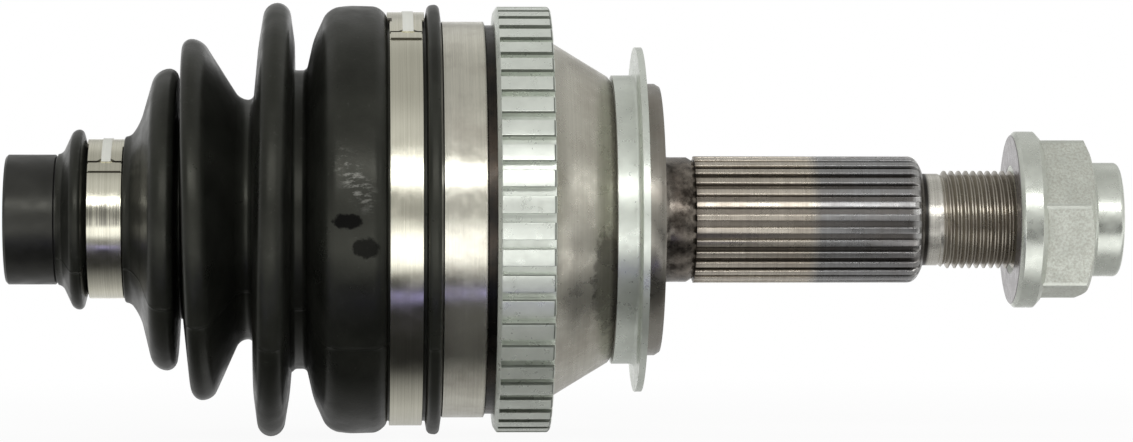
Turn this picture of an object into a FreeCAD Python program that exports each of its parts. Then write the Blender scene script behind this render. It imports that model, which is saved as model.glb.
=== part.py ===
import FreeCAD, Part
import math
import os

V = FreeCAD.Vector
origin = V(0, 0, 0)
along = V(1, 0, 0)

# Frame: +X runs along the joint axis toward the wheel, +Z is up.
# The origin is on the axis, at the shoulder that seats against the wheel bearing.

# Ball joint, from the bar's spline outward
bar_spline_r = 12.2
bar_spline_depth = 0.8
bar_spline_teeth = 26
race_wall = 7.36
ball_count = 6
ball_r = 7.94
track_offset = 3.5
track_clearance = 0.2
race_half_width = 10.6
cage_half_width = 14.0
cage_inner_drop = 2.3
cage_outer_rise = 3.1
sphere_clearance = 0.06
window_clearance = 0.35
window_play = 1.46
window_corner = 4.0
cavity_depth = 24.5
fit_clearance = 0.03

# Housing radii, from the ball grooves outward
track_wall = 3.56
mouth_wall = 4.7
band_step = 1.14
ring_seat_step = 0.74
cone_step = 3.3
sleeve_seat_r = 28.1
cone_foot_rise = 1.1
journal_drop = 0.35
boss_corner = 1.0

# Housing lengths, from the bearing shoulder back to the mouth
journal_length = 3.4
shield_seat_length = 6.4
cone_foot_length = 0.8
cone_length = 11.8
ring_width = 11.5
ring_groove = 1.7
band_width = 9.0
boot_seat_length = 11.2
centre_depth = 17.0

# Stub lengths and radii, from the bearing shoulder to the end of the thread
stub_neck_length = 7.1
stub_neck_drop = 0.2
stub_fillet = 2.0
spline_r = 12.95
spline_depth = 1.0
spline_length = 46.5
spline_teeth = 30
spline_phase = 178.2
relief_length = 4.1
relief_depth = 0.6
thread_r = 10.0
thread_length = 35.1
thread_chamfer = 1.2

# Tone ring
ring_thickness = 3.8
ring_teeth = 52
ring_phase = 178.4
slot_depth = 2.2
slot_share = 0.35
lip_width = 0.8

# Dust shield
shield_thickness = 1.35
shield_flange_height = 7.05
shield_gap = 0.25

# Boot
boot_wall = 1.5
boot_gap = 0.3
boot_end_gap = 0.15
large_cuff_wall = 1.85
small_cuff_wall = 1.65
bead_width = 2.95
bead_rise = 2.65
main_rise = 2.4
main_edge = 1.9
main_flat = 7.4
main_shoulder = 5.9
main_foot = 1.1
main_foot_drop = 6.9
valley_3_width = 2.8
valley_3_r = 30.4
fold_3_flank = 1.3
fold_3_width = 5.2
fold_3_r = 44.2
valley_2_width = 2.7
valley_2_r = 24.5
fold_2_slope = 7.1
fold_2_width = 3.9
fold_2_flank = 0.8
fold_2_r = 36.6
valley_1_width = 0.8
valley_1_r = 20.3
fold_1_flank = 0.3
fold_1_width = 4.5
fold_1_slope = 2.9
fold_1_r = 30.7
cuff_cone_length = 2.0
cuff_cone_rise = 2.8
cuff_shoulder = 1.2
cuff_shoulder_rise = 2.1
small_lip_width = 6.0
small_lip_rise = 3.4
crest_rounding = 2.4
valley_rounding = 0.9
edge_rounding = 0.3

# Clamps: a flat strip wrapped once, its outer end lapped over and hooked near the top
clamp_width = 7.0
clamp_side_gap = 0.3
band_thickness = 0.9
lap_rise = 0.3
lap_inset = 0.15
tongue_rise = 0.18
hook_gap = 0.35
lap_start_angle = -28
tongue_start_angle = -7
large_hook_angle = 27.0
large_end_angle = 31.2
large_notch_angle = 18.0
large_tongue_width = 2.2
small_hook_angle = 44.0
small_end_angle = 54.8
small_notch_angle = 26.0
small_tongue_width = 1.8

# Bar
bar_r = 13.2
boot_groove_depth = 0.3
bar_tail = 10.6
bar_edge = 0.5
bar_taper = 4.4
bar_neck_drop = 0.4
collar_rise = 0.6
collar_length = 2.0
circlip_width = 1.6
circlip_reach = 1.4
circlip_bite = 1.3

# Hub nut
nut_face_x = 72.2
nut_flange_width = 4.5
nut_flange_chamfer = 1.2
nut_flange_margin = 0.73
nut_hex = 30.0
nut_hex_length = 11.2
nut_hex_phase = 171.1
nut_collar_length = 6.4
nut_collar_wall = 1.6
nut_clearance = 0.05

# Radii that follow
pitch_r = bar_spline_r + race_wall + ball_r
cage_inner_r = pitch_r - cage_inner_drop
cage_outer_r = pitch_r + cage_outer_rise
seat_r = pitch_r + ball_r + track_clearance + track_wall
band_r = seat_r + band_step
ring_seat_r = band_r - ring_seat_step
cone_top_r = ring_seat_r - cone_step
cone_end_r = sleeve_seat_r + cone_foot_rise
journal_r = sleeve_seat_r - journal_drop
ring_r = ring_seat_r + ring_thickness
large_cuff_r = seat_r + large_cuff_wall
small_bore_r = bar_r - boot_groove_depth + boot_gap
small_cuff_r = small_bore_r + small_cuff_wall
nut_corner_r = nut_hex / 2 / math.cos(math.pi / 6)
nut_flange_r = nut_corner_r + nut_flange_margin

# Places along X that follow
cone_end_x = -journal_length - shield_seat_length - cone_foot_length
ring_end_x = cone_end_x - cone_length
ring_start_x = ring_end_x - ring_width
band_end_x = ring_start_x - ring_groove
band_start_x = band_end_x - band_width
mouth_x = band_start_x - boot_seat_length
centre_x = mouth_x + centre_depth
cuff_end_x = band_start_x - boot_end_gap
spline_end_x = stub_neck_length + spline_length
thread_start_x = spline_end_x + relief_length
stub_end_x = thread_start_x + thread_length


def pt(x, r):
    return V(x, 0, r)


def line(points):
    pairs = [(a, b) for a, b in zip(points, points[1:]) if a.distanceToPoint(b) > 1e-6]
    return [Part.LineSegment(a, b).toShape() for a, b in pairs]


def arc(a, m, b):
    return [Part.Arc(a, m, b).toShape()]


def turned(edges):
    wire = Part.Wire(Part.__sortEdges__(edges))
    return Part.Face(wire).revolve(origin, along, 360)


def turned_lines(pairs):
    pts = [pt(x, r) for x, r in pairs]
    return turned(line(pts + [pts[0]]))


def rod(x0, x1, r):
    return Part.makeCylinder(r, x1 - x0, V(x0, 0, 0), along)


def pipe(x0, x1, inner_r, outer_r):
    return rod(x0, x1, outer_r).cut(rod(x0 - 1, x1 + 1, inner_r))


def arc_bar(x0, x1, inner_r, outer_r, first, last):
    # Flat bar bent round the axis; degrees count from the top toward the viewer.
    corners = [pt(x0, inner_r), pt(x1, inner_r), pt(x1, outer_r), pt(x0, outer_r), pt(x0, inner_r)]
    end = Part.Face(Part.makePolygon(corners))
    end.rotate(origin, along, first)
    return end.revolve(origin, along, last - first)


def radial(angle):
    return V(0, math.cos(angle), math.sin(angle))


def turn_to(shape, out):
    # A shape drawn round +Z is turned about the axis until +Z points along out.
    shape.rotate(origin, along, math.degrees(math.atan2(-out.y, out.z)))
    return shape


def rounded(corners):
    # Corners (x, r, rounding) joined by lines, each corner rounded by an arc that its sides have room for.
    edges = []
    last = pt(corners[0][0], corners[0][1])
    for before, here, after in zip(corners, corners[1:], corners[2:]):
        corner = pt(here[0], here[1])
        back = pt(before[0], before[1]) - corner
        ahead = pt(after[0], after[1]) - corner
        turn = math.pi - back.getAngle(ahead)
        room = 0.49 * min(back.Length, ahead.Length)
        reach = min(here[2] * math.tan(turn / 2), room)
        if reach < 0.01 or turn < 0.02:
            edges += line([last, corner])
            last = corner
            continue
        r = reach / math.tan(turn / 2)
        back.normalize()
        ahead.normalize()
        toward = (back + ahead).normalize()
        start = corner + back * reach
        end = corner + ahead * reach
        edges += line([last, start])
        edges += arc(start, corner + toward * (r / math.cos(turn / 2) - r), end)
        last = end
    return edges + line([last, pt(corners[-1][0], corners[-1][1])])


def inset(corners, wall):
    # The same outline moved toward the axis by the wall; its two end corners are left out.
    moved = []
    for before, here, after in zip(corners, corners[1:], corners[2:]):
        ax, ar = here[0] - before[0], here[1] - before[1]
        bx, br = after[0] - here[0], after[1] - here[1]
        a, b = math.hypot(ax, ar), math.hypot(bx, br)
        ax, ar, bx, br = ax / a, ar / a, bx / b, br / b
        stretch = wall / (1 + ax * bx + ar * br)
        side = 1 if ax * br - ar * bx < 0 else -1
        rounding = max(here[2] + side * wall, edge_rounding)
        moved.append((here[0] - (ar + br) * stretch, here[1] + (ax + bx) * stretch, rounding))
    return moved


def ball_place(i):
    return radial(2 * math.pi * i / ball_count)


def track_cutter(i, offset, first, last, ended):
    # Ball groove: a round bar bent about an axis beside the joint centre.
    r = ball_r + track_clearance
    out = ball_place(i)
    pivot = V(centre_x + offset, 0, 0)
    start = pivot + out * math.hypot(pitch_r, track_offset)
    axis = along.cross(out)
    disc = Part.Face(Part.Wire(Part.makeCircle(r, start, along)))
    disc.rotate(pivot, axis, -first)
    groove = disc.revolve(pivot, axis, first - last)
    if not ended:
        return groove
    tip = Part.makeSphere(r, start)
    tip.rotate(pivot, axis, -last)
    return groove.fuse(tip)


def make_balls():
    return [Part.makeSphere(ball_r, V(centre_x, 0, 0) + ball_place(i) * pitch_r) for i in range(ball_count)]


def straight_teeth(x0, x1, root_r, tip_r, teeth, share, phase, chamfer):
    # External splines: wedge-shaped gaps cut along a round with a chamfered end.
    blank = turned_lines([(x0, 0), (x0, tip_r), (x1 - chamfer, tip_r), (x1, tip_r - chamfer), (x1, 0)])
    pitch = 2 * math.pi / teeth
    half_tip = tip_r * pitch * (1 - share) / 2
    half_root = root_r * pitch * 0.22
    over = 0.3 * (tip_r - root_r)
    half_over = half_tip + 0.3 * (half_tip - half_root)
    gaps = []
    for k in range(teeth):
        out = radial(phase + pitch * (k + 0.5))
        side = along.cross(out)
        base = V(x0 - 0.01, 0, 0)
        corners = [
            base + out * root_r - side * half_root,
            base + out * (tip_r + over) - side * half_over,
            base + out * (tip_r + over) + side * half_over,
            base + out * root_r + side * half_root,
        ]
        face = Part.Face(Part.makePolygon(corners + [corners[0]]))
        gaps.append(face.extrude(V(x1 - x0 + 0.02, 0, 0)))
    return blank.cut(Part.makeCompound(gaps))


def boot_corners():
    # Outside of the boot from the wide cuff to the narrow one: step back along X, radius, rounding.
    groove = clamp_width + 2 * clamp_side_gap
    bead_r = large_cuff_r + bead_rise
    main_r = large_cuff_r + main_rise
    steps = [
        (0, seat_r, 0),
        (edge_rounding, bead_r, bead_width / 3),
        (bead_width - 2 * edge_rounding, bead_r, bead_width / 3),
        (edge_rounding, large_cuff_r, edge_rounding),
        (groove, large_cuff_r, edge_rounding),
        (main_edge, main_r, valley_rounding),
        (main_flat, main_r, crest_rounding),
        (main_shoulder, main_r - main_foot_drop, valley_rounding),
        (main_foot, valley_3_r, valley_rounding),
        (valley_3_width, valley_3_r, valley_rounding),
        (fold_3_flank, fold_3_r, crest_rounding),
        (fold_3_width, fold_3_r, crest_rounding),
        (fold_3_flank, valley_2_r, valley_rounding),
        (valley_2_width, valley_2_r, valley_rounding),
        (fold_2_slope, fold_2_r, crest_rounding),
        (fold_2_width, fold_2_r, crest_rounding),
        (fold_2_flank, valley_1_r, edge_rounding),
        (valley_1_width, valley_1_r, edge_rounding),
        (fold_1_flank, fold_1_r, crest_rounding),
        (fold_1_width, fold_1_r, crest_rounding),
        (fold_1_slope, small_cuff_r + cuff_shoulder_rise + cuff_cone_rise, valley_rounding),
        (cuff_cone_length, small_cuff_r + cuff_shoulder_rise, valley_rounding),
        (cuff_shoulder, small_cuff_r + cuff_shoulder_rise, edge_rounding),
        (0, small_cuff_r, 0),
        (groove, small_cuff_r, edge_rounding),
        (edge_rounding, small_cuff_r + small_lip_rise, valley_rounding),
        (small_lip_width / 2, small_cuff_r + small_lip_rise, crest_rounding),
        (small_lip_width / 2 - edge_rounding, small_bore_r + edge_rounding, edge_rounding),
        (0, small_bore_r, 0),
    ]
    x = cuff_end_x
    corners = []
    for back, r, rounding in steps:
        x -= back
        corners.append((x, r, rounding))
    return corners


def narrow_cuff():
    # X of the narrow cuff's lip, of its clamp groove's two sides, from the same outline.
    corners = boot_corners()
    return corners[-1][0], corners[24][0], corners[23][0]


def make_boot():
    outside = boot_corners()
    lip_x, groove_x, neck_x = narrow_cuff()
    hollow = inset(outside[4:23], boot_wall)
    inside = [(cuff_end_x, seat_r, 0), (mouth_x - boot_gap, seat_r, 0)]
    inside += hollow + [(neck_x, small_bore_r, 0), (lip_x, small_bore_r, 0)]
    return turned(rounded(outside) + rounded(inside))


def make_bar():
    lip_x, groove_x, neck_x = narrow_cuff()
    spline_x0 = centre_x - race_half_width - collar_length
    spline_x1 = centre_x + race_half_width + 2.5 * circlip_width
    groove_r = bar_r - boot_groove_depth
    neck_r = bar_spline_r - bar_neck_drop
    end_x = lip_x - bar_tail
    start = lip_x - boot_gap
    stop = neck_x + boot_gap
    body = turned_lines([
        (spline_x0, 0), (end_x, 0), (end_x, bar_r - bar_edge), (end_x + bar_edge, bar_r),
        (start - boot_groove_depth, bar_r), (start, groove_r), (stop, groove_r), (stop + boot_groove_depth, bar_r),
        (stop + 2 * boot_groove_depth, bar_r), (stop + bar_taper, neck_r), (spline_x0 - collar_length, neck_r),
        (spline_x0, bar_spline_r + collar_rise)])
    collar = rod(spline_x0, centre_x - race_half_width, bar_spline_r + collar_rise)
    teeth = straight_teeth(centre_x - race_half_width, spline_x1, bar_spline_r - bar_spline_depth, bar_spline_r,
                           bar_spline_teeth, 0.5, 0.0, bar_spline_depth)
    groove_x = centre_x + race_half_width + fit_clearance
    slot_width = circlip_width + 2 * fit_clearance
    groove = pipe(groove_x, groove_x + slot_width, bar_spline_r - circlip_bite, bar_spline_r + 1)
    return body.fuse([collar, teeth.cut(groove)]).removeSplitter()


def make_circlip():
    x0 = centre_x + race_half_width + 2 * fit_clearance
    ring = pipe(x0, x0 + circlip_width, bar_spline_r - circlip_bite + fit_clearance, bar_spline_r + circlip_reach)
    gap = Part.makeBox(circlip_width + 2, bar_spline_r / 2, 2 * bar_spline_r, V(x0 - 1, -bar_spline_r / 4, 0))
    return ring.cut(gap)


def make_inner_race():
    c = centre_x
    r = cage_inner_r - sphere_clearance
    body = Part.makeSphere(r, V(c, 0, 0)).common(rod(c - race_half_width, c + race_half_width, r + 1))
    for i in range(ball_count):
        body = body.cut(track_cutter(i, track_offset, -62, 62, False))
    bore = straight_teeth(c - race_half_width - 1, c + race_half_width + 1,
                          bar_spline_r - bar_spline_depth + fit_clearance, bar_spline_r + fit_clearance,
                          bar_spline_teeth, 0.52, 0.0, 0.0)
    return body.cut(bore)


def make_cage():
    c = centre_x
    r = cage_outer_r
    body = Part.makeSphere(r, V(c, 0, 0)).common(rod(c - cage_half_width, c + cage_half_width, r + 1))
    body = body.cut(Part.makeSphere(cage_inner_r, V(c, 0, 0)))
    half_x = ball_r + window_clearance
    half_y = ball_r + window_play
    for i in range(ball_count):
        window = Part.makeBox(2 * half_x, 2 * half_y, r, V(-half_x, -half_y, cage_inner_r / 2))
        window = window.makeFillet(window_corner, [e for e in window.Edges if abs(e.tangentAt(e.FirstParameter).z) > 0.9])
        window = turn_to(window, ball_place(i))
        window.translate(V(c, 0, 0))
        body = body.cut(window)
    return body


def make_housing():
    c = centre_x
    cavity_r = cage_outer_r + sphere_clearance
    outside = turned_lines([
        (mouth_x, 0), (mouth_x, seat_r - 1.0), (mouth_x + 0.6, seat_r), (band_start_x, seat_r),
        (band_start_x + 0.3, band_r), (band_end_x - 0.3, band_r), (band_end_x, ring_seat_r),
        (ring_end_x - 1.6, ring_seat_r), (ring_end_x + 0.1, cone_top_r), (cone_end_x, cone_end_r),
        (cone_end_x + cone_foot_length, sleeve_seat_r), (-journal_length, sleeve_seat_r),
        (-journal_length, journal_r), (-boss_corner, journal_r), (0, journal_r - 0.6 * boss_corner), (0, 0)])
    neck_r = spline_r - stub_neck_drop
    neck = turned(
        line([origin, pt(0, neck_r + stub_fillet)])
        + arc(pt(0, neck_r + stub_fillet), pt(0.3 * stub_fillet, neck_r + 0.3 * stub_fillet), pt(stub_fillet, neck_r))
        + line([pt(stub_fillet, neck_r), pt(stub_neck_length - 1.5, neck_r),
                pt(stub_neck_length, spline_r - spline_depth - 0.1), pt(stub_neck_length, 0), origin]))
    spline = straight_teeth(stub_neck_length, spline_end_x, spline_r - spline_depth, spline_r, spline_teeth, 0.5,
                            math.radians(spline_phase), 0.6 * spline_depth)
    relief_r = thread_r - relief_depth
    tail = turned_lines([
        (spline_end_x, 0), (spline_end_x, relief_r), (thread_start_x - relief_depth, relief_r),
        (thread_start_x, thread_r), (stub_end_x - thread_chamfer, thread_r), (stub_end_x, thread_r - thread_chamfer),
        (stub_end_x, 0)])
    body = outside.fuse([neck, spline, tail]).removeSplitter()
    room = Part.makeSphere(cavity_r, V(c, 0, 0)).common(rod(c - cavity_r, c + cavity_depth, cavity_r + 1))
    opening_r = seat_r - mouth_wall
    funnel = Part.makeCone(opening_r + 0.5, opening_r - 10, 10.5, V(mouth_x - 0.5, 0, 0), along)
    body = body.cut(room.fuse(funnel))
    for i in range(ball_count):
        body = body.cut(track_cutter(i, -track_offset, -48, 31, True))
    return body


def make_tone_ring():
    start_x = ring_start_x + lip_width
    blank = turned_lines([
        (ring_start_x, ring_seat_r), (ring_start_x, ring_r - 1.2), (start_x, ring_r),
        (ring_end_x - 0.5, ring_r), (ring_end_x, ring_r - 0.5), (ring_end_x, ring_seat_r)])
    pitch = 2 * math.pi / ring_teeth
    half = ring_r * pitch * slot_share / 2
    slots = []
    for k in range(ring_teeth):
        slot = Part.makeBox(ring_width, 2 * half, 2 * slot_depth, V(start_x, -half, ring_r - slot_depth))
        slots.append(turn_to(slot, radial(math.radians(ring_phase) + pitch * (k + slot_share / 2))))
    return blank.cut(Part.makeCompound(slots))


def make_dust_shield():
    t = shield_thickness
    inner = sleeve_seat_r
    x0 = cone_end_x + cone_foot_length + 0.1
    face_x = -journal_length - shield_gap
    back_x = face_x - t
    flange_r = inner + shield_flange_height
    edges = line([pt(x0, inner), pt(x0, inner + t), pt(back_x - 1.0, inner + t)])
    edges += arc(pt(back_x - 1.0, inner + t), pt(back_x - 0.3, inner + t + 0.3), pt(back_x, inner + t + 1.0))
    edges += line([pt(back_x, inner + t + 1.0), pt(back_x, flange_r), pt(face_x, flange_r), pt(face_x, inner),
                   pt(x0, inner)])
    return turned(edges)


def make_clamp(start, inner_r, hook, end, notch, tongue_width):
    outer_r = inner_r + band_thickness
    lap_r = outer_r + lap_rise
    stop = start + clamp_width
    middle = start + clamp_width / 2
    half = tongue_width / 2
    past = hook + math.degrees(hook_gap / outer_r)
    ring = pipe(start, stop, inner_r, outer_r)
    ears = arc_bar(start, stop, outer_r, lap_r, lap_start_angle, notch)
    lap = arc_bar(start + 2 * lap_inset, stop - 2 * lap_inset, outer_r, lap_r, notch, hook)
    tip = arc_bar(start + 2 * lap_inset, stop - 2 * lap_inset, outer_r, lap_r, past, end)
    bridge = arc_bar(middle - half / 2, middle + half / 2, outer_r, lap_r, hook, past)
    tongue = arc_bar(middle - half, middle + half, lap_r, lap_r + tongue_rise, tongue_start_angle, 2 * past - hook)
    return ring.fuse([ears, lap, tip, bridge, tongue]).removeSplitter()


def make_nut():
    bore = thread_r + nut_clearance
    x0 = nut_face_x
    flange_x = x0 + nut_flange_width
    hex_end = flange_x + nut_hex_length
    nut_end = hex_end + nut_collar_length
    collar_r = bore + nut_collar_wall
    edge = 0.2 * nut_flange_width
    body = turned_lines([
        (x0, 0), (x0, nut_flange_r - edge), (x0 + edge, nut_flange_r), (flange_x, nut_flange_r),
        (flange_x + nut_flange_chamfer, nut_flange_r - 1.1 * nut_flange_chamfer), (flange_x + nut_flange_chamfer, 0)])
    corners = [V(flange_x, 0, 0) + radial(math.radians(nut_hex_phase + 60 * k)) * nut_corner_r for k in range(7)]
    prism = Part.Face(Part.makePolygon(corners)).extrude(V(nut_hex_length, 0, 0))
    limit = turned_lines([
        (flange_x, 0), (flange_x, nut_corner_r + 0.1), (hex_end - 1.5, nut_corner_r + 0.1),
        (hex_end, nut_hex / 2 - 0.6), (hex_end, 0)])
    collar = turned(
        line([pt(hex_end - 0.5, 0), pt(hex_end - 0.5, collar_r + 0.5), pt(hex_end + 0.4, collar_r + 0.5),
              pt(hex_end + 0.9, collar_r), pt(nut_end - 1.0, collar_r)])
        + arc(pt(nut_end - 1.0, collar_r), pt(nut_end - 0.3, collar_r - 0.3), pt(nut_end, collar_r - 1.0))
        + line([pt(nut_end, collar_r - 1.0), pt(nut_end, 0), pt(hex_end - 0.5, 0)]))
    body = body.fuse([prism.common(limit), collar]).removeSplitter()
    body = body.cut(rod(x0 - 1, nut_end + 1, bore))
    entry = Part.makeCone(bore + 1.2, bore, 1.2, V(x0, 0, 0), along)
    return body.cut(entry)


def save(shape, name):
    if shape.ShapeType == "Compound" and len(shape.Solids) == 1:
        shape = shape.Solids[0]
    shape.exportStep("parts/" + name + ".step")
    print(name, len(shape.Solids), round(shape.Volume, 1), shape.isValid())


def main():
    os.makedirs("parts", exist_ok=True)
    save(make_bar(), "axle_bar")
    save(make_circlip(), "axle_circlip")
    save(make_inner_race(), "inner_race")
    save(make_cage(), "ball_cage")
    for number, ball in enumerate(make_balls(), 1):
        save(ball, "ball_%d" % number)
    save(make_housing(), "outer_housing")
    save(make_tone_ring(), "tone_ring")
    save(make_dust_shield(), "dust_shield")
    save(make_boot(), "cv_boot")
    lip_x, groove_x, neck_x = narrow_cuff()
    large_start = cuff_end_x - bead_width - clamp_side_gap - clamp_width
    save(make_clamp(large_start, large_cuff_r, large_hook_angle, large_end_angle, large_notch_angle,
                    large_tongue_width), "large_boot_clamp")
    save(make_clamp(groove_x + clamp_side_gap, small_cuff_r + boot_gap, small_hook_angle, small_end_angle,
                    small_notch_angle, small_tongue_width), "small_boot_clamp")
    save(make_nut(), "hub_nut")


main()
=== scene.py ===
import math
import bpy
import bmesh
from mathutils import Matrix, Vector


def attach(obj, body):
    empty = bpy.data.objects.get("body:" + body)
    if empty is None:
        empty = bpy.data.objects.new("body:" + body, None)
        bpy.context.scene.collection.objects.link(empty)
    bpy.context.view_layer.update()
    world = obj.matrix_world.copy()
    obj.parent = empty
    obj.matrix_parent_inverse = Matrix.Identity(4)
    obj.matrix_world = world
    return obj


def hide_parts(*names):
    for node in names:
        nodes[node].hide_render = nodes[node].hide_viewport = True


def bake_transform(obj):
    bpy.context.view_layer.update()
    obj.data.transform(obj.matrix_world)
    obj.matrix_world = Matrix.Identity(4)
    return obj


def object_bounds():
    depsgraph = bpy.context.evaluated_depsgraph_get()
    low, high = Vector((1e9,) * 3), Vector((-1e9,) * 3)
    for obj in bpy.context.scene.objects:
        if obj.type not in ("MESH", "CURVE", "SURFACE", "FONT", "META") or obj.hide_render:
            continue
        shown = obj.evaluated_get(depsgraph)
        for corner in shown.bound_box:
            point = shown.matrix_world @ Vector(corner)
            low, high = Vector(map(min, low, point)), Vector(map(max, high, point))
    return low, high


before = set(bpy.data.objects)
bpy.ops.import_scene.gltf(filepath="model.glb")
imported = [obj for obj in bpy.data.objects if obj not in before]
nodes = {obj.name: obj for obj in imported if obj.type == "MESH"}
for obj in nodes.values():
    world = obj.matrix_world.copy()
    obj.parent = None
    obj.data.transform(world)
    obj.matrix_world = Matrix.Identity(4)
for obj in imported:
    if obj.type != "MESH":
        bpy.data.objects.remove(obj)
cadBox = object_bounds()
mm = 0.001
perRadian = math.degrees(1)
print("frame loaded:", len(nodes), "nodes")


def newMaterial(name, **sockets):
    mat = bpy.data.materials.new(name)
    mat.use_nodes = True
    shader = mat.node_tree.nodes["Principled BSDF"]
    for key, value in sockets.items():
        shader.inputs[key.replace("_", " ")].default_value = value
    return mat, mat.node_tree, shader


def feed(tree, socket, value):
    # a socket takes another node's output or a plain value
    if hasattr(value, "is_output"):
        tree.links.new(value, socket)
    else:
        socket.default_value = value


def addNode(tree, kind, **inputs):
    node = tree.nodes.new(kind)
    for key, value in inputs.items():
        feed(tree, node.inputs[key.replace("_", " ")], value)
    return node


def mathOf(tree, operation, a, b=0.0):
    node = tree.nodes.new("ShaderNodeMath")
    node.operation = operation
    feed(tree, node.inputs[0], a)
    feed(tree, node.inputs[1], b)
    return node.outputs[0]


def timesOf(tree, product, *others):
    for other in others:
        product = mathOf(tree, "MULTIPLY", product, other)
    return product


def rangeOf(tree, value, low, high, outLow=0.0, outHigh=1.0, curve="SMOOTHSTEP"):
    node = addNode(tree, "ShaderNodeMapRange", Value=value)
    node.interpolation_type = curve
    for socket, number in zip(node.inputs[1:5], (low, high, outLow, outHigh)):
        socket.default_value = number
    return node.outputs[0]


def plateauOf(tree, value, rise, fall):
    # 0 before the rise, 1 between rise and fall, 0 after the fall
    return timesOf(tree, rangeOf(tree, value, *rise), rangeOf(tree, value, *fall, 1, 0))


def bandOf(tree, value, low, high, soft):
    return plateauOf(tree, value, (low - soft, low), (high, high + soft))


def rampOf(tree, factor, stops):
    # each stop is a place from 0 to 1 and a colour, or one number for a grey
    node = addNode(tree, "ShaderNodeValToRGB", Fac=factor)
    elements = node.color_ramp.elements
    while len(elements) < len(stops):
        elements.new(0.5)
    for element, (place, colour) in zip(elements, stops):
        element.position = place
        element.color = (*colour, 1) if isinstance(colour, tuple) else (colour, colour, colour, 1)
    return node.outputs["Color"]


def rampAlong(tree, value, low, high, stops):
    # the same, with each place in metres between low and high
    share = rangeOf(tree, value, low, high, curve="LINEAR")
    return rampOf(tree, share, [((place - low) / (high - low), colour) for place, colour in stops])


def mixColour(tree, factor, a, b):
    node = tree.nodes.new("ShaderNodeMix")
    node.data_type = "RGBA"
    feed(tree, node.inputs[0], factor)
    for socket, colour in ((node.inputs[6], a), (node.inputs[7], b)):
        feed(tree, socket, (*colour, 1) if isinstance(colour, tuple) else colour)
    return node.outputs[2]


def bumpInto(tree, shader, height, strength, distance):
    node = addNode(tree, "ShaderNodeBump", Height=height, Strength=strength, Distance=distance)
    tree.links.new(node.outputs["Normal"], shader.inputs["Normal"])


def noiseAt(tree, scale, detail=3.0, roughness=0.5, stretch=(1, 1, 1)):
    coords = tree.nodes.new("ShaderNodeTexCoord")
    placed = addNode(tree, "ShaderNodeMapping", Vector=coords.outputs["Object"], Scale=stretch)
    node = addNode(tree, "ShaderNodeTexNoise", Vector=placed.outputs["Vector"], Scale=scale, Detail=detail,
                   Roughness=roughness)
    return node.outputs["Fac"]


def turnedLines(tree, density):
    # fine lines round the axle, as a lathe leaves them
    return noiseAt(tree, 1.0, 3, 0.6, (density, 25, 25))


def axisValue(tree, axis):
    coords = tree.nodes.new("ShaderNodeTexCoord")
    node = addNode(tree, "ShaderNodeSeparateXYZ", Vector=coords.outputs["Object"])
    return node.outputs[axis]


def squareSum(tree, a, b):
    return mathOf(tree, "ADD", timesOf(tree, a, a), timesOf(tree, b, b))


def radiusValue(tree):
    return mathOf(tree, "SQRT", squareSum(tree, axisValue(tree, "Y"), axisValue(tree, "Z")))


def turnValue(tree):
    # degrees round the axle, from the top toward the viewer
    toViewer = timesOf(tree, axisValue(tree, "Y"), -1.0)
    return timesOf(tree, mathOf(tree, "ARCTAN2", toViewer, axisValue(tree, "Z")), perRadian)


def ovalAt(tree, centre, half):
    # oval in the X-Z plane with a ragged, soft rim
    across = mathOf(tree, "DIVIDE", mathOf(tree, "SUBTRACT", axisValue(tree, "X"), centre[0]), half[0])
    up = mathOf(tree, "DIVIDE", mathOf(tree, "SUBTRACT", axisValue(tree, "Z"), centre[1]), half[1])
    ragged = timesOf(tree, noiseAt(tree, 700, 5, 0.7), 2.2)
    return rangeOf(tree, mathOf(tree, "ADD", squareSum(tree, across, up), ragged), 1.65, 2.35, 1.0, 0.0)


# marks lie on the widest part, toward the viewer: places in metres
rubber = {
    "dark": (0.009, 0.0095, 0.008), "light": (0.023, 0.024, 0.020), "chalk": (0.28, 0.28, 0.26),
    "wet": (0.004, 0.004, 0.004), "rough": (0.27, 0.42), "front": (-0.036, -0.030),
    "scuffX": ((-0.0675, -0.063), (-0.0605, -0.0565)),
    "scuffZ": ((-0.001, 0.006), (0.010, 0.017)),
    "trail": {"x": -0.062, "slope": 1.3, "low": 0.0065, "high": 0.0085, "soft": 0.0055},
    # centre, half size and strength of each smudge
    "smudges": [((-0.0633, -0.0004), (0.0030, 0.0016), 1.0), ((-0.0597, -0.0056), (0.0026, 0.0021), 0.80)],
}


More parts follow.
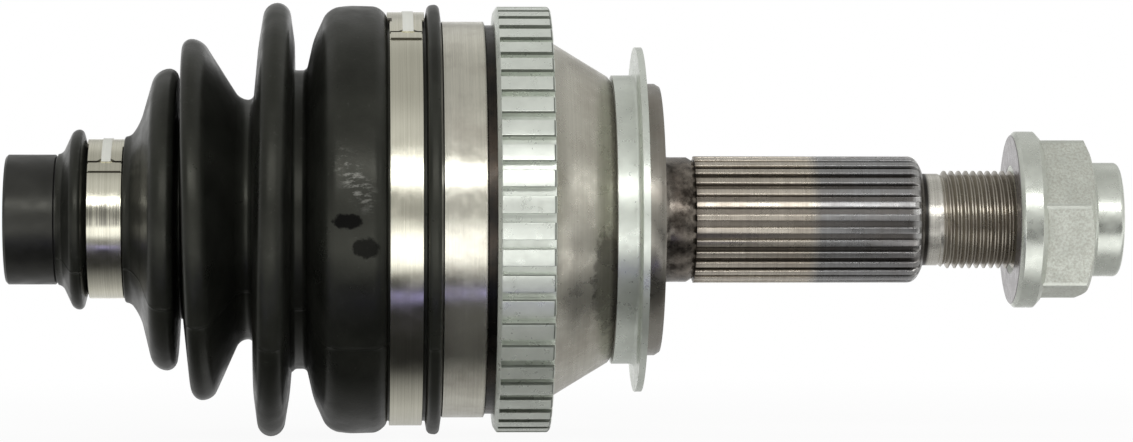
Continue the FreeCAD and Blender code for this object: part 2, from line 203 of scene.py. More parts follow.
def bootRubber():
    mat, tree, shader = newMaterial("bootRubber", Metallic=0.0, Specular_Tint=(1.0, 1.0, 0.86, 1))
    colour = rampOf(tree, noiseAt(tree, 60, 5, 0.6), [(0.35, rubber["dark"]), (0.7, rubber["light"])])
    speckle = rampOf(tree, noiseAt(tree, 900, 4, 0.7), [(0.62, 0), (0.78, 1)])
    colour = mixColour(tree, timesOf(tree, speckle, 0.10), colour, rubber["chalk"])
    x = axisValue(tree, "X")
    z = axisValue(tree, "Z")
    front = rangeOf(tree, axisValue(tree, "Y"), *rubber["front"], 1, 0)
    # pale scuffs in a trail that slants down to the right
    trail = rubber["trail"]
    slanting = mathOf(tree, "ADD", z, timesOf(tree, mathOf(tree, "SUBTRACT", x, trail["x"]), trail["slope"]))
    patch = timesOf(tree, plateauOf(tree, x, *rubber["scuffX"]), plateauOf(tree, z, *rubber["scuffZ"]), front,
                    bandOf(tree, slanting, trail["low"], trail["high"], trail["soft"]))
    broken = rampOf(tree, noiseAt(tree, 900, 6, 0.75, (0.4, 1, 1)), [(0.51, 0), (0.63, 1)])
    colour = mixColour(tree, timesOf(tree, patch, broken, 0.75), colour, rubber["chalk"])
    # dark damp smudges below them
    first, second = [timesOf(tree, ovalAt(tree, centre, half), strength)
                     for centre, half, strength in rubber["smudges"]]
    smudged = timesOf(tree, mathOf(tree, "MAXIMUM", first, second), front)
    tree.links.new(mixColour(tree, smudged, colour, rubber["wet"]), shader.inputs["Base Color"])
    tree.links.new(rangeOf(tree, noiseAt(tree, 140, 4, 0.6), 0.3, 0.7, *rubber["rough"]),
                   shader.inputs["Roughness"])
    tree.links.new(rangeOf(tree, smudged, 0.0, 1.0, 0.34, 0.05), shader.inputs["Specular IOR Level"])
    bumpInto(tree, shader, noiseAt(tree, 1600, 4, 0.65), 0.25, 0.00012)
    return mat


# besides the steel's own colours: a painted dark reflection, a painted glint, and dirt with painted shade for
# the gaps
stripSteel = {
    "dark": (0.71, 0.69, 0.57), "light": (0.85, 0.825, 0.69), "darkReflection": (0.10, 0.095, 0.085),
    "paintedGlint": (0.95, 0.97, 0.93), "dirtAndShade": (0.045, 0.038, 0.026), "rough": (0.15, 0.27),
}


def brightStrip(name, sizes):
    mat, tree, shader = newMaterial(name, Metallic=1.0)
    lines = turnedLines(tree, 9000)
    colour = rampOf(tree, lines, [(0.35, stripSteel["dark"]), (0.65, stripSteel["light"])])
    turn = turnValue(tree)
    perMm = perRadian / sizes["outerR"]  # degrees

    def acrossStrip(value, place, before, after, soft):
        # line across the strip: its place in degrees, and mm before and after that
        return bandOf(tree, value, place - before * perMm, place + after * perMm, soft * perMm)

    # painted dark reflection, in streaks, where the strip faces the viewer
    streaks = rampOf(tree, turnedLines(tree, 4200), [(0.30, 0.15), (0.60, 1)])
    darkReflection = timesOf(tree, bandOf(tree, turn, *sizes["darkReflectionTurns"], 4.0), streaks, sizes["darkReflection"])
    colour = mixColour(tree, darkReflection, colour, stripSteel["darkReflection"])
    # painted highlight on the tongue: paler, less metallic and rougher
    half = sizes["tongue"] / 2 * mm
    aside = mathOf(tree, "ABSOLUTE", mathOf(tree, "SUBTRACT", axisValue(tree, "X"), sizes["centre"] * mm))
    onTongue = rangeOf(tree, aside, half - 0.1 * mm, half + 0.1 * mm, 1, 0)
    paintedGlint = timesOf(tree, onTongue,
                    bandOf(tree, turn, closure["tongueFrom"], sizes["hook"] + 0.2 * perMm, 0.3))
    colour = mixColour(tree, timesOf(tree, paintedGlint, 0.75), colour, stripSteel["paintedGlint"])
    # painted shade in the gap at the hook, which flares at the tongue, at the step at the end and in the
    # notch between the ears
    flare = rangeOf(tree, aside, half, half + 1.0 * mm, 0.55 * perMm, 0.0)
    hookGap = timesOf(tree, acrossStrip(mathOf(tree, "ADD", turn, flare), sizes["hook"], 0.02, 0.42, 0.1),
                      mathOf(tree, "SUBTRACT", 1.0, onTongue))
    endStep = acrossStrip(turn, sizes["end"], 0.03, 0.17, 0.1)
    notch = timesOf(tree, acrossStrip(turn, sizes["ears"], 1.3, 1.1, 0.2),
                    rangeOf(tree, aside, sizes["notch"] * mm, (sizes["notch"] + 0.2) * mm))
    gaps = mathOf(tree, "MAXIMUM", mathOf(tree, "MAXIMUM", hookGap, endStep), notch)
    colour = mixColour(tree, timesOf(tree, gaps, 0.88), colour, stripSteel["dirtAndShade"])
    tree.links.new(colour, shader.inputs["Base Color"])
    rough = rangeOf(tree, noiseAt(tree, 200, 4), 0.3, 0.7, *stripSteel["rough"])
    rough = mathOf(tree, "ADD", rough, timesOf(tree, mathOf(tree, "MAXIMUM", gaps, paintedGlint), 0.35))
    tree.links.new(rough, shader.inputs["Roughness"])
    tree.links.new(rangeOf(tree, paintedGlint, 0.0, 1.0, 1.0, 0.45), shader.inputs["Metallic"])
    bumpInto(tree, shader, lines, 0.06, 0.00005)
    return mat


# places along X and radii in metres; the slot walls get painted shade, and the hexagon's surface stays raw
zinc = {
    "ringZinc": {"tint": (0.80, 0.84, 0.77), "rough": (0.26, 0.38), "metallic": 0.50,
                 "slots": {"radii": (0.04260, 0.04332), "along": (-0.0330, -0.0226)}},
    "shieldZinc": {"tint": (0.77, 0.81, 0.74), "rough": (0.26, 0.38), "metallic": 0.66},
    "nutZinc": {"tint": (0.76, 0.79, 0.72), "rough": (0.24, 0.36), "metallic": 0.78,
                "hexagon": {"along": (0.0768, 0.0880), "cornerR": 0.01718, "faceX": 0.0722}},
    "spot": (0.30, 0.30, 0.28), "dirtAndShade": (0.10, 0.11, 0.09),
    "fleck": (0.38, 0.35, 0.29), "seat": (0.24, 0.215, 0.23),
}


def zincPlate(name):
    plate = zinc[name]
    mat, tree, shader = newMaterial(name, Metallic=plate["metallic"])
    darker = tuple(c * 0.86 for c in plate["tint"])
    colour = rampOf(tree, noiseAt(tree, 180, 5, 0.6), [(0.32, darker), (0.68, plate["tint"])])
    spots = rampOf(tree, noiseAt(tree, 1400, 3, 0.6), [(0.74, 0), (0.80, 1)])
    colour = mixColour(tree, timesOf(tree, spots, 0.12), colour, zinc["spot"])
    rough = rangeOf(tree, noiseAt(tree, 500, 4, 0.6), 0.3, 0.7, *plate["rough"])
    height = noiseAt(tree, 2200, 4, 0.6)
    strength, distance = 0.15, 0.00006
    if "slots" in plate:
        # painted shade on the walls of the slots
        walls = timesOf(tree, bandOf(tree, radiusValue(tree), *plate["slots"]["radii"], 0.00005),
                        bandOf(tree, axisValue(tree, "X"), *plate["slots"]["along"], 0.00005))
        colour = mixColour(tree, timesOf(tree, walls, 0.80), colour, zinc["dirtAndShade"])
    if "hexagon" in plate:
        hexagon = plate["hexagon"]
        x = axisValue(tree, "X")
        corner = hexagon["cornerR"]
        raw = timesOf(tree, bandOf(tree, x, *hexagon["along"], 0.0002),
                      rangeOf(tree, radiusValue(tree), corner - 0.0003, corner - 0.0001, 1, 0.35))
        flecks = rampOf(tree, noiseAt(tree, 2000, 3, 0.7), [(0.40, 0), (0.62, 1)])
        colour = mixColour(tree, timesOf(tree, flecks, raw, 0.44), colour, zinc["fleck"])
        # the seating face is duller than the rest
        seat = rangeOf(tree, x, hexagon["faceX"] + 0.0001, hexagon["faceX"] + 0.0002, 0.85, 0.0)
        colour = mixColour(tree, seat, colour, zinc["seat"])
        rough = mathOf(tree, "ADD", rough, timesOf(tree, raw, 0.26))
        coarse = timesOf(tree, noiseAt(tree, 1500, 3, 0.6), raw, 1.6)
        height = mathOf(tree, "ADD", timesOf(tree, height, 0.12), coarse)
        strength, distance = 0.5, 0.00009
    tree.links.new(colour, shader.inputs["Base Color"])
    tree.links.new(rough, shader.inputs["Roughness"])
    bumpInto(tree, shader, height, strength, distance)
    return mat


# places along X and radii in metres
forging = {
    "span": (-0.06, 0.10),
    "zones": [
        (-0.0600, (0.60, 0.57, 0.51)), (-0.0460, (0.79, 0.77, 0.67)),  # ground band
        (-0.0362, (0.79, 0.77, 0.66)),  # its end
        (-0.0357, (0.02, 0.02, 0.018)), (-0.0240, (0.02, 0.02, 0.018)),  # painted shade: near black on the seat beside and under the toothed ring
        (-0.0220, (0.64, 0.62, 0.54)), (-0.0112, (0.58, 0.56, 0.48)),  # turned cone
        (-0.0108, (0.36, 0.345, 0.30)), (-0.0004, (0.31, 0.295, 0.26)),  # boss and shoulder
        (0.0030, (0.20, 0.175, 0.15)), (0.0072, (0.36, 0.32, 0.27)),  # neck
        (0.0085, (0.64, 0.585, 0.50)), (0.0300, (0.64, 0.585, 0.50)),  # splines, brown and then grey
        (0.0325, (0.37, 0.37, 0.37)), (0.0500, (0.34, 0.34, 0.345)),
        (0.0525, (0.50, 0.50, 0.49)), (0.0535, (0.42, 0.42, 0.41)),
        (0.0537, (0.03, 0.03, 0.028)), (0.0546, (0.03, 0.03, 0.028)),  # shaded corner
        (0.0550, (0.80, 0.78, 0.71)), (0.0575, (0.80, 0.78, 0.71)),  # relief groove
        (0.0580, (0.44, 0.41, 0.35)), (0.0900, (0.44, 0.41, 0.35)),  # thread
    ],
    "streak": (0.12, 0.10, 0.085), "rust": (0.17, 0.12, 0.085), "gapDark": (0.045, 0.037, 0.030),
    "dirtAndShade": (0.035, 0.028, 0.022), "lowDarkPatch": (0.07, 0.062, 0.055), "rough": (0.24, 0.36),
    # darker in the gaps between the spline teeth, and painted shade in the corner at their end
    "gaps": [
        {"radii": (0.01215, 0.01260), "amount": 0.76, "along": ((0.0062, 0.0072), (0.0505, 0.0520))},
        {"radii": (0.0118, 0.0122), "amount": 0.9, "along": ((0.0524, 0.0528), (0.0537, 0.0540))},
    ],
    "neck": ((0.0002, 0.0012), (0.0060, 0.0076)),
    "lowDarkPatchAt": ((-0.0118, -0.0125), (0.0032, 0.0105)),
    "groundEnd": (-0.0364, -0.0360),
}


def forgedSteel():
    mat, tree, shader = newMaterial("forgedSteel", Metallic=0.88)
    x = axisValue(tree, "X")
    colour = rampAlong(tree, x, *forging["span"], forging["zones"])
    lines = turnedLines(tree, 5000)
    streaks = timesOf(tree, rangeOf(tree, lines, 0.35, 0.65), rangeOf(tree, x, -0.002, 0.002, 0.12, 0.22))
    colour = mixColour(tree, streaks, colour, forging["streak"])
    blotch = rampOf(tree, noiseAt(tree, 90, 6, 0.65), [(0.45, 0), (0.75, 1)])
    colour = mixColour(tree, timesOf(tree, blotch, 0.35), colour, forging["rust"])
    radius = radiusValue(tree)
    # darker between the spline teeth, and painted shade in the corner at their end
    teeth, corner = [timesOf(tree, rangeOf(tree, radius, *gap["radii"], gap["amount"], 0.0),
                             plateauOf(tree, x, *gap["along"])) for gap in forging["gaps"]]
    colour = mixColour(tree, mathOf(tree, "MAXIMUM", teeth, corner), colour, forging["gapDark"])
    dirtAndShade = rampOf(tree, noiseAt(tree, 260, 6, 0.7), [(0.38, 1), (0.60, 0)])
    dirty = timesOf(tree, plateauOf(tree, x, *forging["neck"]), dirtAndShade)
    colour = mixColour(tree, dirty, colour, forging["dirtAndShade"])
    # a darker oval patch on the lower side of the cone
    lowDarkPatch = timesOf(tree, ovalAt(tree, *forging["lowDarkPatchAt"]), 0.55)
    colour = mixColour(tree, lowDarkPatch, colour, forging["lowDarkPatch"])
    tree.links.new(colour, shader.inputs["Base Color"])
    rough = rangeOf(tree, noiseAt(tree, 350, 5, 0.6), 0.3, 0.7, *forging["rough"])
    ground = timesOf(tree, rangeOf(tree, x, *forging["groundEnd"], 1, 0), 0.09)
    tree.links.new(mathOf(tree, "SUBTRACT", rough, ground), shader.inputs["Roughness"])
    bumpInto(tree, shader, lines, 0.05, 0.00006)
    return mat


def satinBlack():
    mat, tree, shader = newMaterial("satinBlack", Metallic=0.0, Specular_Tint=(1.0, 1.0, 0.88, 1))
    colour = rampOf(tree, noiseAt(tree, 120, 4), [(0.35, 0.010), (0.7, (0.022, 0.022, 0.021))])
    tree.links.new(colour, shader.inputs["Base Color"])
    tree.links.new(rangeOf(tree, noiseAt(tree, 300, 4), 0.3, 0.7, 0.30, 0.42), shader.inputs["Roughness"])
    bumpInto(tree, shader, noiseAt(tree, 900, 3), 0.2, 0.00008)
    return mat


def greasedSteel():
    mat, tree, shader = newMaterial("greasedSteel", Metallic=1.0)
    colour = rampOf(tree, noiseAt(tree, 160, 5, 0.6), [(0.35, (0.36, 0.34, 0.31)), (0.7, (0.62, 0.61, 0.58))])
    tree.links.new(colour, shader.inputs["Base Color"])
    tree.links.new(rangeOf(tree, noiseAt(tree, 240, 4), 0.3, 0.7, 0.16, 0.34), shader.inputs["Roughness"])
    bumpInto(tree, shader, noiseAt(tree, 3000, 2), 0.08, 0.00003)
    return mat


materials = {
    "rubber": bootRubber(), "forging": forgedSteel(), "black": satinBlack(), "greased": greasedSteel(),
    "ringZinc": zincPlate("ringZinc"), "shieldZinc": zincPlate("shieldZinc"), "nutZinc": zincPlate("nutZinc"),
}
print("materials made")

nodeFinishes = {
    "greased": ["ball_1", "ball_2", "ball_3", "ball_4", "ball_5", "ball_6", "ball_cage", "inner_race",
                "axle_circlip"],
    "black": ["axle_bar"],
    "ringZinc": ["tone_ring"],
    "shieldZinc": ["dust_shield"],
    "nutZinc": ["hub_nut"],
    "forging": ["outer_housing"],
    "rubber": ["cv_boot", "large_boot_clamp", "small_boot_clamp"],
}
for finish, names in nodeFinishes.items():
    for name in names:
        nodes[name].data.materials.clear()
        nodes[name].data.materials.append(materials[finish])


def profileLine(bm, corners, closed=False):
    # corners are (x, radius) in mm
    verts = [bm.verts.new((x * mm, 0, r * mm)) for x, r in corners]
    for a, b in zip(verts, verts[1:] + (verts[:1] if closed else [])):
        bm.edges.new((a, b))
    return verts


def spunShape(corners, steps):
    # corners are (x, radius, rounding) in mm
    bm = bmesh.new()
    verts = profileLine(bm, [(x, r) for x, r, rounding in corners], closed=True)
    for vert, (x, r, rounding) in zip(verts, corners):
        if rounding:
            bmesh.ops.bevel(bm, geom=[vert], offset=rounding * mm, offset_type="OFFSET", segments=6,
                            profile=0.5, affect="VERTICES", material=-1, clamp_overlap=True)
    bmesh.ops.spin(bm, geom=bm.verts[:] + bm.edges[:], cent=(0, 0, 0), axis=(1, 0, 0), angle=2 * math.pi,
                   steps=steps, use_merge=True)
    bmesh.ops.remove_doubles(bm, verts=bm.verts[:], dist=1e-6)
    bmesh.ops.recalc_face_normals(bm, faces=bm.faces[:])
    return bm


def nodeCopy(name):
    bm = bmesh.new()
    bm.from_mesh(nodes[name].data)
    bmesh.ops.remove_doubles(bm, verts=bm.verts[:], dist=1e-6)
    return bm


def roundEdges(bm, edges, width, segments):
    bmesh.ops.bevel(bm, geom=edges, offset=width * mm, offset_type="OFFSET", segments=segments, profile=0.5,
                    affect="EDGES", material=-1, clamp_overlap=True)


def cutAcross(bm, x, facing=1, clear=False):
    # clear drops what lies on the side that the cut faces
    bmesh.ops.bisect_plane(bm, geom=bm.verts[:] + bm.edges[:] + bm.faces[:], dist=1e-7,
                           plane_co=(x * mm, 0, 0), plane_no=(facing, 0, 0), clear_outer=clear)


def closeEnds(bm):
    bmesh.ops.holes_fill(bm, edges=[e for e in bm.edges if e.is_boundary], sides=0)


def radiusOf(vert):
    return math.hypot(vert.co.y, vert.co.z) / mm


def pressIn(vert, limit):
    # a point outside this radius comes down to it
    r = radiusOf(vert)
    if r > limit:
        vert.co.y *= limit / r
        vert.co.z *= limit / r


def evenShading(obj):
    # flat faces stay flat to the eye beside narrow bevels
    even = obj.modifiers.new("evenShading", "WEIGHTED_NORMAL")
    even.mode = "FACE_AREA"
    even.weight = 80
    even.keep_sharp = True


def finishPiece(bm, name, mat, sharpDegrees=35):
    for face in bm.faces:
        face.smooth = True
    for edge in bm.edges:
        edge.smooth = edge.calc_face_angle(0) < math.radians(sharpDegrees)
    mesh = bpy.data.meshes.new(name)
    bm.to_mesh(mesh)
    bm.free()
    kept = mesh.attributes.get("custom_normal")  # a copied node brings its old normals
    if kept:
        mesh.attributes.remove(kept)
    mesh.materials.append(mat)
    obj = bpy.data.objects.new(name, mesh)
    bpy.context.scene.collection.objects.link(obj)
    return obj


# corners are (x, radius, rounding) in mm
bellows = {
    "steps": 180,
    "outer": [
        (-122.0, 13.3, 0), (-121.0, 13.55, 0.8), (-118.8, 18.3, 1.0), (-117.0, 18.3, 0.7),  # lip
        (-116.2, 15.4, 0.3), (-115.9, 14.85, 0.2), (-108.55, 14.85, 0.1),  # seat of the narrow strip
        (-108.5, 16.9, 0.4), (-107.3, 17.0, 0.9), (-105.3, 19.8, 2.0),
        (-102.4, 30.7, 2.6), (-97.9, 30.7, 2.2), (-97.55, 20.2, 0.5), (-96.75, 20.2, 0.5), (-95.9, 36.6, 1.8),
        (-92.0, 36.9, 2.8), (-85.2, 24.4, 1.6), (-82.5, 24.4, 1.2), (-81.9, 36.0, 1.0), (-80.7, 44.1, 2.4),
        (-75.9, 44.1, 2.4), (-74.7, 36.0, 1.0), (-74.5, 30.4, 0.9), (-71.7, 30.4, 0.8), (-70.3, 36.6, 1.4),
        (-67.4, 43.0, 2.2), (-63.0, 43.55, 1.0), (-57.4, 43.4, 1.0), (-55.7, 41.9, 0.5), (-55.4, 41.0, 0.1),
        (-47.75, 41.0, 0.1), (-47.3, 43.6, 0.8), (-45.0, 43.9, 1.0), (-44.35, 39.25, 0.2),
    ],
    "inner": [
        (-56.4, 39.25, 0), (-58.0, 41.6, 0), (-65.0, 41.6, 0), (-68.6, 36.4, 0), (-70.1, 29.0, 0.8),
        (-76.2, 29.0, 0.8), (-77.0, 42.2, 0.8), (-79.6, 42.2, 0.8), (-80.6, 23.4, 0.8), (-85.9, 23.2, 1.0),
        (-92.8, 34.9, 0.8), (-94.6, 34.6, 0.6), (-95.4, 18.6, 0.4), (-99.0, 18.6, 0.4), (-99.4, 28.9, 0.6),
        (-101.2, 28.6, 0.6), (-104.6, 18.0, 0.6), (-107.2, 13.55, 0),
    ],
    # each fold leans: low x, high x and mm at a height of crestR, its upper side toward +X when positive
    "leans": [(-106.0, -97.6, 0.6), (-97.0, -85.0, -1.2), (-82.6, -74.4, 0.6)],
    "leanFromR": 24.0, "leanOver": 12.0, "crestR": 40.0,
    # ridge of the mould on two sides: degrees below the middle, mm high, and from how far it draws points
    "ridge": {"turn": 36, "height": 0.14, "halfWidth": 0.5, "reach": 8.0, "closeness": 2.5},
}


def leanFolds(bm):
    for low, high, lean in bellows["leans"]:
        for vert in bm.verts:
            r = radiusOf(vert)
            if low < vert.co.x / mm < high and r > bellows["leanFromR"]:
                share = min(1.0, (r - bellows["leanFromR"]) / bellows["leanOver"])
                vert.co.x += lean * share * vert.co.z / bellows["crestR"]


def partingLine(bm):
    ridge = bellows["ridge"]
    reach = ridge["reach"]
    for vert in bm.verts:
        r = radiusOf(vert) * mm
        for side in (0, 180):
            middle = side - ridge["turn"]
            turn = (math.degrees(math.atan2(vert.co.z, -vert.co.y)) - middle + 180) % 360 - 180
            if abs(turn) < reach:
                closer = reach * (abs(turn) / reach) ** ridge["closeness"]
                place = math.radians(middle + math.copysign(closer, turn))
                lifted = r + (ridge["height"] * mm if abs(turn) < ridge["halfWidth"] else 0)
                vert.co.y = -lifted * math.cos(place)
                vert.co.z = lifted * math.sin(place)


def buildBoot():
    bm = spunShape(bellows["outer"] + bellows["inner"], bellows["steps"])
    leanFolds(bm)
    partingLine(bm)
    boot = finishPiece(bm, "bellowsBoot", materials["rubber"], 50)
    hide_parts("cv_boot")
    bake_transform(boot)


buildBoot()
print("boot done")


# places along X and sizes in mm, places round the strip in degrees from the top toward the viewer
# the last two entries of each strip place and weigh its painted dark reflection
largeStrip = {
    "start": -55.0, "width": 6.6, "outerR": 41.95, "centre": -51.3, "tongue": 2.2, "notch": 3.1,
    "ears": 18.0, "earReach": 0.45, "hook": 27.0, "end": 31.0, "darkReflectionTurns": (78, 92), "darkReflection": 0.15,
}
smallStrip = {
    "start": -115.7, "width": 7.0, "outerR": 16.05, "centre": -111.9, "tongue": 1.9, "notch": 3.6,
    "ears": 26.0, "earReach": 0.18, "hook": 44.0, "end": 53.6, "darkReflectionTurns": (79, 93), "darkReflection": 0.75,
}
closure = {
    "thick": 0.9, "edge": 0.12, "lap": 0.3, "gap": 0.40, "sunk": 0.05, "earsFrom": -28, "tongueFrom": -6,
    "steps": 180,
}


def arcBar(bm, x0, x1, r0, r1, startDegrees, endDegrees, steps):
    low = math.radians(startDegrees)
    corners = [(x0, r0), (x1, r0), (x1, r1), (x0, r1)]
    verts = [bm.verts.new((x * mm, -r * mm * math.sin(low), r * mm * math.cos(low))) for x, r in corners]
    face = bm.faces.new(verts)
    bmesh.ops.spin(bm, geom=[face] + list(face.edges) + verts, cent=(0, 0, 0), axis=(1, 0, 0),
                   angle=math.radians(endDegrees - startDegrees), steps=steps)


def buildStrip(name, sizes, body, node):
    x0 = sizes["start"]
    x1 = x0 + sizes["width"]
    r1 = sizes["outerR"]
    inner = r1 - closure["thick"]
    bm = spunShape([(x0, inner, 0), (x0, r1, closure["edge"]), (x1, r1, closure["edge"]), (x1, inner, 0)],
                   closure["steps"])
    low, high = r1 - closure["sunk"], r1 + closure["lap"]
    ears, hook, reach = sizes["ears"], sizes["hook"], sizes["earReach"]
    hookEnd = hook + closure["gap"] * perRadian / r1
    # ears, hooked part, end of the lap
    arcBar(bm, x0 - reach, x1 + reach, low, high, closure["earsFrom"], ears, 24)
    arcBar(bm, x0 + 0.1, x1 - 0.1, low, high, ears, hook, 10)
    arcBar(bm, x0 + 0.25, x1 - 0.2, low, high, hookEnd, sizes["end"], 8)
    # tongue on top, and its neck through the gap
    centre, half = sizes["centre"], sizes["tongue"] / 2
    arcBar(bm, centre - half, centre + half, high - 0.02, high + 0.18, closure["tongueFrom"], hookEnd, 20)
    arcBar(bm, centre - half * 0.5, centre + half * 0.5, r1 - 0.02, high + 0.06, hook - 0.5, hookEnd + 0.5, 4)
    bmesh.ops.recalc_face_normals(bm, faces=bm.faces[:])
    strip = finishPiece(bm, name, brightStrip(name + "Steel", sizes), 30)
    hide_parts(node)
    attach(strip, body)


buildStrip("largeStripClamp", largeStrip, "hub_side", "large_boot_clamp")
buildStrip("smallStripClamp", smallStrip, "axle_side", "small_boot_clamp")
print("clamps done")


bevelled = {
    "toothedRing": {"node": "tone_ring", "body": "hub_side", "material": "ringZinc", "width": 0.16,
                    "fromDegrees": 25},
    "flangedNut": {"node": "hub_nut", "body": "nut", "material": "nutZinc", "width": 0.30,
                   "fromDegrees": 25},
}


def buildBevelled(name):
    # the pressed and forged pieces have softened edges, which catch the light
    sizes = bevelled[name]
    bm = nodeCopy(sizes["node"])
    bmesh.ops.dissolve_limit(bm, angle_limit=math.radians(0.5), verts=bm.verts[:], edges=bm.edges[:])
    limit = math.radians(sizes["fromDegrees"])
    sharp = [e for e in bm.edges if len(e.link_faces) == 2 and e.calc_face_angle_signed() > limit]
    roundEdges(bm, sharp, sizes["width"], 2)
    bmesh.ops.recalc_face_normals(bm, faces=bm.faces[:])
    piece = finishPiece(bm, name, materials[sizes["material"]], 30)
    evenShading(piece)
    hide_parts(sizes["node"])
    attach(piece, sizes["body"])


for name in bevelled:
    buildBevelled(name)
print("ring and nut done")


# crests of the splines are rolled round, and their outer end is turned down over the last few mm
splineEnds = {
    "crestR": 12.95, "roundFrom": 50.4, "roundTo": 53.6, "drop": 2.5, "crestRound": 0.24,
    "cuts": [51.2, 51.8, 52.3, 52.7, 53.0, 53.3],
    # where the teeth are looked for, above their roots and at their tips
    "searchX": (6.9, 53.7), "rootsR": 11.5, "tipsR": 12.6, "leastLength": 5, "leastDegrees": 25,
}
stubThread = {
    "start": 57.7, "end": 92.8, "pitch": 1.5, "crestR": 10.0, "rootR": 9.1, "flankDegrees": 30,
    "turnSteps": 72,
    # the thread runs in from a smaller radius, reaches under the forging's end, and is chamfered at the tip
    "startR": 9.38, "runIn": 0.9, "under": 0.7, "chamfer": 1.0,
}


def isCrest(edge):
    low, high = splineEnds["searchX"]
    for vert in edge.verts:
        if not (low * mm < vert.co.x < high * mm and radiusOf(vert) > splineEnds["tipsR"]):
            return False
    a, b = edge.verts
    length = edge.calc_length()
    along = abs(a.co.x - b.co.x) > 0.98 * length and length > splineEnds["leastLength"] * mm
    if not along or len(edge.link_faces) != 2:
        return False
    return edge.calc_face_angle_signed() > math.radians(splineEnds["leastDegrees"])


def roundSplines(bm):
    low, high = splineEnds["searchX"]
    near = [v for v in bm.verts if low * mm < v.co.x < high * mm and radiusOf(v) > splineEnds["rootsR"]]
    inside = set(near)
    edges = [e for e in bm.edges if e.verts[0] in inside and e.verts[1] in inside]
    bmesh.ops.dissolve_limit(bm, angle_limit=math.radians(0.5), verts=near, edges=edges)
    crests = [e for e in bm.edges if isCrest(e)]
    print("spline crests:", len(crests))
    roundEdges(bm, crests, splineEnds["crestRound"], 3)
    for place in splineEnds["cuts"]:
        cutAcross(bm, place)
    start, end = splineEnds["roundFrom"], splineEnds["roundTo"]
    for vert in bm.verts:
        x = vert.co.x / mm
        if start < x < end + 0.05:
            share = min(1.0, (x - start) / (end - start))
            pressIn(vert, splineEnds["crestR"] - splineEnds["drop"] * share ** 3)


def buildHousing():
    bm = nodeCopy("outer_housing")
    cutAcross(bm, stubThread["start"] - stubThread["under"], clear=True)
    closeEnds(bm)
    roundSplines(bm)
    housing = finishPiece(bm, "bellAndStub", materials["forging"], 32)
    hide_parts("outer_housing")
    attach(housing, "hub_side")


def buildThread():
    pitch, crestR, rootR = stubThread["pitch"], stubThread["crestR"], stubThread["rootR"]
    steps = stubThread["turnSteps"]
    flank = (crestR - rootR) * math.tan(math.radians(stubThread["flankDegrees"]))
    flat = (pitch - 2 * flank) / 2
    start = stubThread["start"] - 2 * pitch
    turns = math.ceil((stubThread["end"] - start) / pitch) + 1
    bm = bmesh.new()
    profileLine(bm, [(start, rootR), (start + flat, rootR), (start + flat + flank, crestR),
                     (start + 2 * flat + flank, crestR), (start + pitch, rootR)])
    bmesh.ops.spin(bm, geom=bm.verts[:] + bm.edges[:], cent=(0, 0, 0), axis=(1, 0, 0),
                   dvec=(pitch * mm / steps, 0, 0), angle=2 * math.pi * turns, steps=turns * steps)
    bmesh.ops.remove_doubles(bm, verts=bm.verts[:], dist=1e-5)
    cutAcross(bm, stubThread["start"] - stubThread["under"], facing=-1, clear=True)
    cutAcross(bm, stubThread["end"], clear=True)
    closeEnds(bm)
    for vert in bm.verts:
        x = vert.co.x / mm
        runIn = stubThread["startR"] + max(0.0, x - stubThread["start"] + 0.1) * stubThread["runIn"]
        chamfer = max(0.0, x - stubThread["end"] + stubThread["chamfer"])
        pressIn(vert, min(crestR, runIn, crestR - chamfer))
    bmesh.ops.recalc_face_normals(bm, faces=bm.faces[:])
    thread = finishPiece(bm, "stubThread", materials["forging"], 25)
    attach(thread, "hub_side")


buildHousing()
buildThread()
print("housing and thread done")


studio = {
    "floorDrop": 0.05, "cardLift": 0.02,  # mm under the object, and over the floor
    "floorSize": 6.0, "floor": (0.86, 0.86, 0.85, 1), "room": (0.42, 0.42, 0.41, 1), "white": (1, 1, 1, 1),
    "ceiling": 0.30,  # how bright metal sees the lit ceiling
}


def bareMaterial(name):
    mat = bpy.data.materials.new(name)
    mat.use_nodes = True
    mat.node_tree.nodes.clear()
    return mat, mat.node_tree, mat.node_tree.nodes.new("ShaderNodeOutputMaterial")


def mixInto(tree, out, factor, first, second):
    mix = tree.nodes.new("ShaderNodeMixShader")
    for socket, value in zip(mix.inputs, (factor, first.outputs[0], second.outputs[0])):
        tree.links.new(value, socket)
    tree.links.new(mix.outputs[0], out.inputs["Surface"])


def isSeen(tree, glossyShare):
    rays = tree.nodes.new("ShaderNodeLightPath")
    direct = mathOf(tree, "MAXIMUM", rays.outputs["Is Camera Ray"], rays.outputs["Is Transmission Ray"])
    mirrored = timesOf(tree, rays.outputs["Is Glossy Ray"], glossyShare)
    return mathOf(tree, "MAXIMUM", direct, mirrored)


def paleFloor():
    mat, tree, out = bareMaterial("paleFloor")
    diffuse = addNode(tree, "ShaderNodeBsdfDiffuse", Color=studio["floor"])
    glow = addNode(tree, "ShaderNodeEmission", Color=studio["white"], Strength=1.0)
    coords = tree.nodes.new("ShaderNodeTexCoord")
    far = addNode(tree, "ShaderNodeVectorMath", Vector=coords.outputs["Object"])
    far.operation = "LENGTH"
    # the object's shadow shows near it, and the white floor has no seen end
    share = rangeOf(tree, far.outputs["Value"], 0.10, 0.40, 0.94, 1.0)
    mixInto(tree, out, timesOf(tree, isSeen(tree, 1.0), share), diffuse, glow)
    return mat
